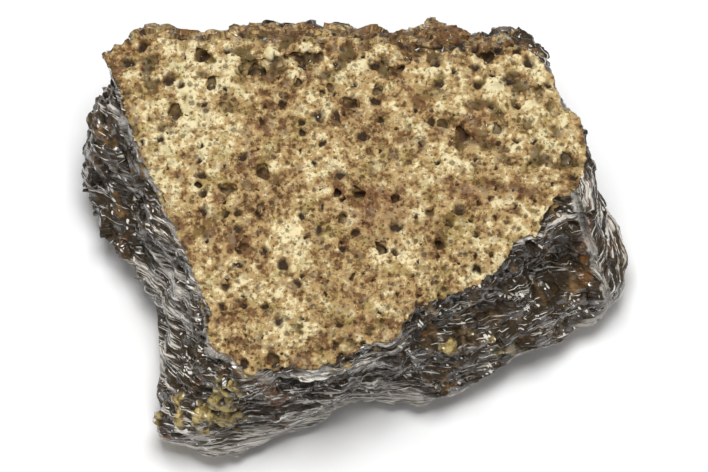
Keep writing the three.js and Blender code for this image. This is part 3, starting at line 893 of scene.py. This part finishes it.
def paint(mesh):
    """Stores the rim, the crest, the facet and each set of patches as numbers at every vertex."""
    places = np.empty(len(mesh.vertices) * 3, np.float32)
    mesh.vertices.foreach_get("co", places)
    x, y = places.reshape(-1, 3)[:, :2].T / MM
    painted = {
        "rim": inside_rim(x, y),
        "crest": np.exp(-((from_line(x, y, *CREST) / CREST_FADE) ** 2)),
        "facet": right_of_crest(x, y),
    }
    for name, patches in PATCHES.items():
        painted[name] = np.zeros(len(x))
        for at_x, at_y, half_width, half_depth, strength in patches:
            away = ((x - at_x) / half_width) ** 2 + ((y - at_y) / half_depth) ** 2
            painted[name] += strength * np.exp(-away)
    for name, values in painted.items():
        layer = mesh.attributes.new(name, "FLOAT", "POINT")
        layer.data.foreach_set("value", values.astype(np.float32))


class FOSSIL_OT_bone_section(bpy.types.Operator):
    """Builds the chunk: its skin, relief, patches and material"""

    bl_idname = "fossil.bone_section"
    bl_label = "Bone section"

    def execute(self, context):
        scene = context.scene
        pore_sizes, wall_sizes = scene.fossil_pores, scene.fossil_walls
        face_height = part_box(NODE)[1].z / MM
        material = fossil_material(pore_sizes, wall_sizes, scene.fossil_colours)
        piece = smooth_copy(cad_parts[NODE], scene.fossil_skin)
        apply_modifiers(piece)
        paint(piece.data)
        tree = relief_tree(material, face_height)
        relief = piece.modifiers.new("relief", "NODES")
        relief.node_group = tree
        sockets = [item for item in tree.interface.items_tree if item.in_out == "INPUT"]
        groups = {"pores": pore_sizes, "walls": wall_sizes}
        for socket, (group, name) in zip(sockets[1:], RELIEF_INPUTS):
            relief[socket.identifier] = getattr(groups[group], name)
        relief[sockets[-1].identifier] = wall_sizes.stretch
        apply_modifiers(piece)

        faces = sum(len(face.vertices) - 2 for face in piece.data.polygons)
        fewer = piece.modifiers.new("fewer", "DECIMATE")
        fewer.ratio = min(scene.fossil_skin.triangles / faces, 1.0)
        apply_modifiers(piece)
        if not piece.data.polygons:
            raise RuntimeError("the skin over the solid came out empty")
        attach(piece, "root")
        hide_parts(NODE)
        return {"FINISHED"}


def soft_light(name, place, size, power):
    """A square soft light at a place, turned to the chunk."""
    lamp = bpy.data.lights.new(name, "AREA")
    lamp.size = size
    lamp.energy = power
    light = bpy.data.objects.new(name, lamp)
    light.location = place
    light.rotation_euler = (MIDDLE - Vector(place)).to_track_quat("-Z", "Y").to_euler()
    bpy.context.scene.collection.objects.link(light)


def plain_material(name, tone, roughness):
    material = bpy.data.materials.new(name)
    material.use_nodes = True
    surface = material.node_tree.nodes["Principled BSDF"]
    surface.inputs["Base Color"].default_value = (*tone, 1.0)
    surface.inputs["Roughness"].default_value = roughness
    return material


# Metres, apart from the number of lights
MIDDLE = Vector((0.00004, 0.00014, 0.008))  # what the lights and the camera aim at
KEY_PLACE = (0.0, 0.05, 0.49)
KEY_SIZE = 0.2
RING_LIGHTS = 8  # small soft lights all round the chunk, which glint in its walls
RING_RADIUS = 0.34
RING_HEIGHT = 0.36
RING_SIZE = 0.045


class FOSSIL_OT_stage(bpy.types.Operator):
    """Lays the floor, hangs the lights and sets the camera at the photograph's angle"""

    bl_idname = "fossil.stage"
    bl_label = "Floor, lights and camera"

    def execute(self, context):
        scene = context.scene
        stage = scene.fossil_stage
        half = stage.floor_size / 2
        mesh = bpy.data.meshes.new("floor")
        corners = [(-half, -half, 0), (half, -half, 0), (half, half, 0), (-half, half, 0)]
        mesh.from_pydata(corners, [], [(0, 1, 2, 3)])
        mesh.materials.append(plain_material("pale_floor", stage.floor, 0.6))
        floor = bpy.data.objects.new("floor", mesh)
        scene.collection.objects.link(floor)

        soft_light("key_light", KEY_PLACE, KEY_SIZE, stage.key_power)
        for i in range(RING_LIGHTS):
            turn = math.tau * (i + 0.5) / RING_LIGHTS
            place = (RING_RADIUS * math.cos(turn), RING_RADIUS * math.sin(turn), RING_HEIGHT)
            soft_light(f"ring_light_{i + 1}", place, RING_SIZE, stage.ring_power)
        world = bpy.data.worlds.new("pale_room")
        world.use_nodes = True
        room = world.node_tree.nodes["Background"]
        room.inputs["Color"].default_value = (1.0, 1.0, 1.0, 1.0)
        room.inputs["Strength"].default_value = stage.world_light
        scene.world = world
        scene.view_settings.view_transform = "Standard"

        lens = bpy.data.cameras.new("camera")
        lens.sensor_width = 36.0
        lens.lens = lens.sensor_width * stage.distance / stage.view_width
        lens.clip_start = 0.01
        camera = bpy.data.objects.new("camera", lens)
        back = Vector((0.0, -math.cos(stage.elevation), math.sin(stage.elevation)))
        camera.location = MIDDLE + back * stage.distance
        camera.rotation_euler = (-back).to_track_quat("-Z", "Y").to_euler()
        scene.collection.objects.link(camera)
        scene.camera = camera
        return {"FINISHED"}


class FOSSIL_PT_panel(bpy.types.Panel):
    """Lists the settings and the steps"""

    bl_label = "Fossil bone section"
    bl_idname = "FOSSIL_PT_panel"
    bl_space_type = "VIEW_3D"
    bl_region_type = "UI"
    bl_category = "Fossil"

    def draw(self, context):
        for name in SETTINGS:
            box = self.layout.box()
            group = getattr(context.scene, name)
            for entry in group.bl_rna.properties:
                if entry.identifier not in ("rna_type", "name"):
                    box.prop(group, entry.identifier)
        for operator in STEPS:
            self.layout.operator(operator.bl_idname)


SETTINGS = {
    "fossil_skin": FossilSkin,
    "fossil_pores": FossilPores,
    "fossil_walls": FossilWalls,
    "fossil_colours": FossilColours,
    "fossil_stage": FossilStage,
}
STEPS = (FOSSIL_OT_stage, FOSSIL_OT_bone_section)


def register():
    for group in (*SETTINGS.values(), *STEPS, FOSSIL_PT_panel):
        bpy.utils.register_class(group)
    for name, group in SETTINGS.items():
        setattr(bpy.types.Scene, name, bpy.props.PointerProperty(type=group))


def unregister():
    for name in SETTINGS:
        delattr(bpy.types.Scene, name)
    for group in (FOSSIL_PT_panel, *reversed(STEPS), *reversed(SETTINGS.values())):
        bpy.utils.unregister_class(group)


def main():
    register()
    bpy.ops.fossil.stage()
    bpy.ops.fossil.bone_section()


if __name__ == "__main__":
    main()
